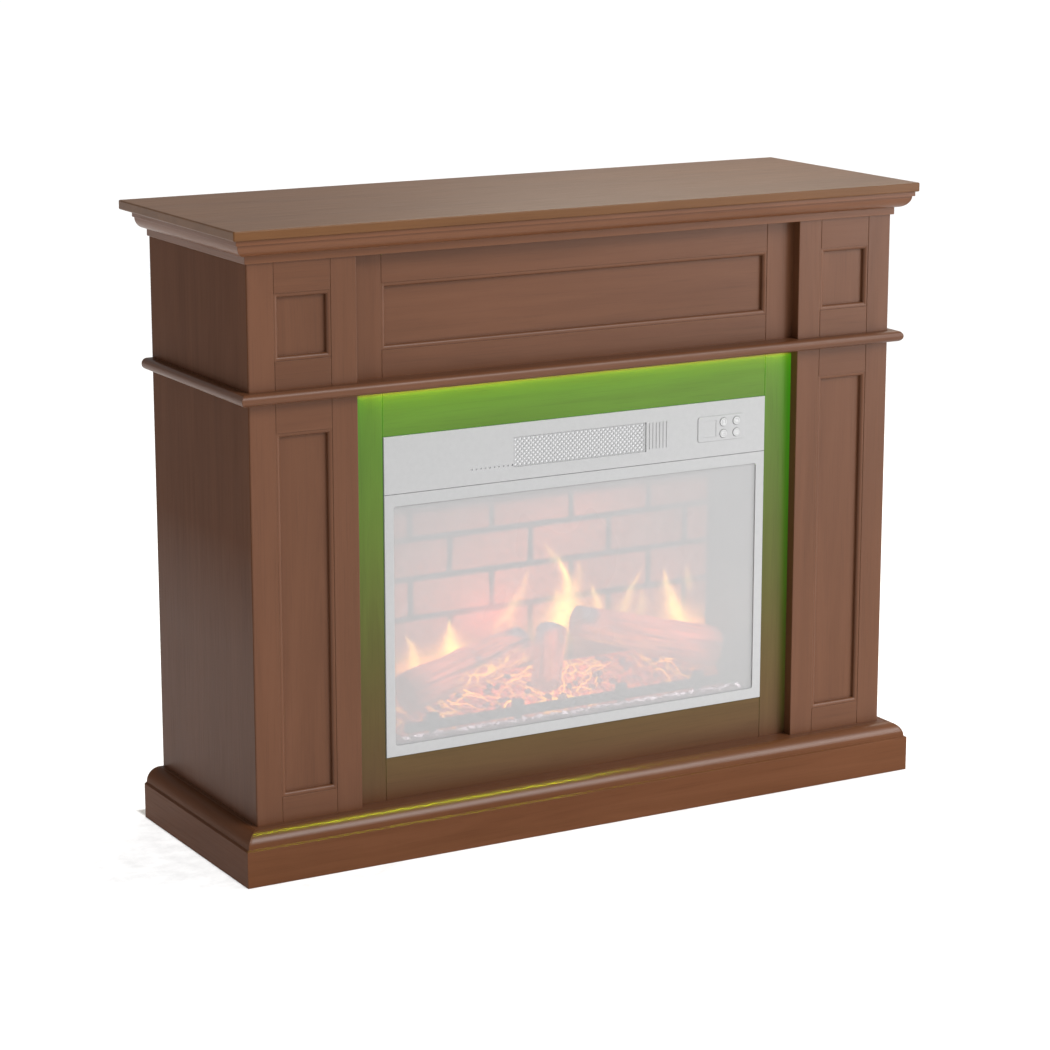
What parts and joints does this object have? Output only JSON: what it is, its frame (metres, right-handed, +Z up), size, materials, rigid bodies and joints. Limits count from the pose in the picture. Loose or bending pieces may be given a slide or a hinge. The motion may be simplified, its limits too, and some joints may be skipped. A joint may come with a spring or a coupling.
{
  "type": "electric fireplace",
  "caption": "Freestanding walnut mantel with moulded shelf, panelled pilasters and plinth around a fan-heater fireplace insert with log set, brick back and press buttons.",
  "frame": {"origin": "on the floor, centre of the overall footprint (plinth front to shelf back, plinth side to plinth side)", "axes": "+Z up; the front with the insert's window faces -Y; +X is to the viewer's right when facing the front"},
  "size_m": [1.228, 0.438, 1],
  "materials": {
    "walnut_finish": "satin veneer with a red-brown walnut stain",
    "raw_board": "unfinished fibreboard",
    "insert_face": "pale grey powder coat",
    "front_glass": "pale translucent tempered glass",
    "control_face": "pale grey",
    "button": null,
    "circuit_board": "green solder mask",
    "zinc_steel": "zinc plated",
    "black_steel": "matt black",
    "brick": "moulded brick relief, lit by the flame light",
    "log_resin": "charred bark",
    "ember": "glowing translucent resin",
    "mirror_flags": "polished",
    "motor": "satin",
    "heater_fins": "plain",
    "blower_black": "black",
    "led_cover": "milky cover, lit green",
    "rubber": "black",
    "controller_case": "white"
  },
  "bodies": {
    "mantel_and_insert": {"back_rails": "raw_board", "base_board": "walnut_finish", "blower_housing": "blower_black", "blower_motor": "motor", "bottom_rail": "walnut_finish", "brick_panel": "brick", "control_board": "circuit_board", "control_panel": "control_face", "cord_gland": "rubber", "crown_front": "walnut_finish", "crown_left": "walnut_finish", "crown_right": "walnut_finish", "ember_bed": "ember", "firebox_liner": "black_steel", "flame_led_board": "circuit_board", "frieze_panel": "walnut_finish", "frieze_top_rail": "walnut_finish", "front_glass": "front_glass", "grate": "black_steel", "header_panel": "insert_face", "header_rail": "walnut_finish", "heater_element": "heater_fins", "housing_shell": "zinc_steel", "insert_shelf": "raw_board", "led_controller": "controller_case", "led_diffuser": "led_cover", "led_strip": "circuit_board", "log_centre": "log_resin", "log_left": "log_resin", "log_right": "log_resin", "mid_moulding_front": "walnut_finish", "mid_moulding_returns": "walnut_finish", "outlet_grille": "insert_face", "pan_head_screws": "zinc_steel", "pilaster_frame_left": "walnut_finish", "pilaster_frame_right": "walnut_finish", "pilaster_lower_panel_left": "walnut_finish", "pilaster_lower_panel_right": "walnut_finish", "pilaster_upper_panel_left": "walnut_finish", "pilaster_upper_panel_right": "walnut_finish", "plinth_front": "walnut_finish", "plinth_left": "walnut_finish", "plinth_right": "walnut_finish", "rear_cover": "zinc_steel", "shelf_supports": "raw_board", "shelf_top": "walnut_finish", "side_panel_left": "walnut_finish", "side_panel_right": "walnut_finish", "spindle_bearings": "zinc_steel", "spindle_motor": "motor", "surround_stile_left": "walnut_finish", "surround_stile_right": "walnut_finish", "wall_brackets": "zinc_steel", "window_frame": "insert_face"},
    "power_key": {"power_button": "button"},
    "timer_key": {"timer_button": "button"},
    "flame_key": {"flame_button": "button"},
    "heat_key": {"heat_button": "button"},
    "spindle": {"flame_spindle": "mirror_flags"},
    "impeller": {"blower_impeller": "blower_black"}
  },
  "joints": [
    {"name": "power_key_press", "type": "slide", "parent": "mantel_and_insert", "child": "power_key", "axis": [0, 1, 0], "range_m": [0, 0.0012], "stiffness_N_per_m": 900, "springref_m": -0.0006},
    {"name": "timer_key_press", "type": "slide", "parent": "mantel_and_insert", "child": "timer_key", "axis": [0, 1, 0], "range_m": [0, 0.0012], "stiffness_N_per_m": 900, "springref_m": -0.0006},
    {"name": "flame_key_press", "type": "slide", "parent": "mantel_and_insert", "child": "flame_key", "axis": [0, 1, 0], "range_m": [0, 0.0012], "stiffness_N_per_m": 900, "springref_m": -0.0006},
    {"name": "heat_key_press", "type": "slide", "parent": "mantel_and_insert", "child": "heat_key", "axis": [0, 1, 0], "range_m": [0, 0.0012], "stiffness_N_per_m": 900, "springref_m": -0.0006},
    {"name": "spindle_spin", "type": "hinge", "parent": "mantel_and_insert", "child": "spindle", "pos_m": [0, 0.008, 0.215], "axis": [1, 0, 0], "continuous": true},
    {"name": "impeller_spin", "type": "hinge", "parent": "mantel_and_insert", "child": "impeller", "pos_m": [0, -0.085, 0.612], "axis": [1, 0, 0], "continuous": true}
  ]
}
